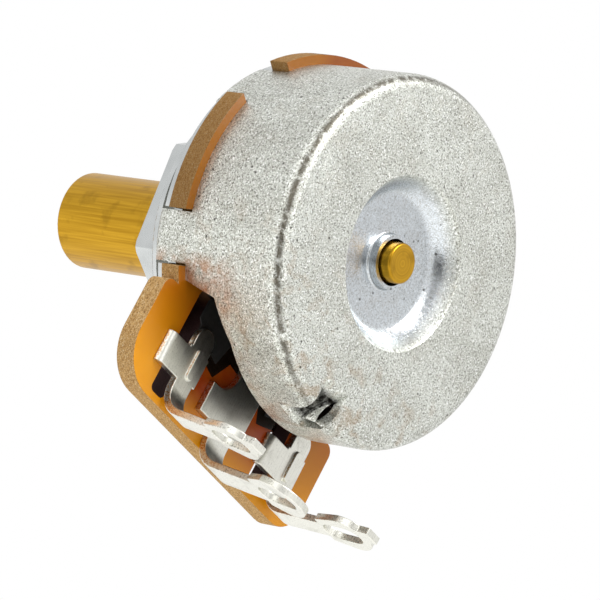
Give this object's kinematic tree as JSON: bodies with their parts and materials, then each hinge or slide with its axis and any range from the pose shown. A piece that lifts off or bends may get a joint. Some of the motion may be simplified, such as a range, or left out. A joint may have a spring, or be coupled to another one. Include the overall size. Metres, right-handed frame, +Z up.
{
  "type": "rotary potentiometer",
  "caption": "Panel-mount rotary potentiometer with a drawn metal cover, threaded bushing, plain round shaft and rear-facing solder lugs.",
  "frame": {"origin": "on the shaft's axis, in the plane of the bushing's shoulder that meets the panel", "axes": "+Z up, -Y along the shaft towards the knob, +Y towards the rear of the cover, terminals at -Z"},
  "size_m": [0.025, 0.0294, 0.0303],
  "materials": {
    "cover_tin": "matt tin-plated drawn steel with fine mottling and handling smudges",
    "zinc_plate": "bluish bright zinc plate",
    "nickel": "dull nickel plate",
    "phenolic": "orange-brown phenolic paper laminate, punched rim",
    "carbon": "matt printed carbon",
    "tinned_brass": "bright tin plate",
    "brass": "turned brass with fine axial brushing",
    "spring_steel": "plain oiled steel",
    "rotor_resin": "dark moulded resin",
    "bronze": "rolled phosphor bronze"
  },
  "bodies": {
    "housing": {"cover": "cover_tin", "front_plate": "zinc_plate", "base_board": "phenolic", "bushing": "nickel", "mounting_washer": "zinc_plate", "mounting_nut": "zinc_plate", "carbon_track": "carbon", "left_track_pad": "carbon", "right_track_pad": "carbon", "left_terminal": "tinned_brass", "centre_terminal": "tinned_brass", "right_terminal": "tinned_brass"},
    "rotor": {"shaft": "brass", "thrust_washer": "spring_steel", "retaining_ring": "spring_steel", "rotor_carrier": "rotor_resin", "wiper_spring": "bronze", "track_brush": "carbon", "collector_brush": "bronze", "stop_plate": "spring_steel", "rotor_rivets": "brass"}
  },
  "joints": [
    {"name": "shaft_turn", "type": "hinge", "parent": "housing", "child": "rotor", "pos_m": [0, 0, 0], "axis": [0, -1, 0], "range_deg": [-150, 150]}
  ]
}
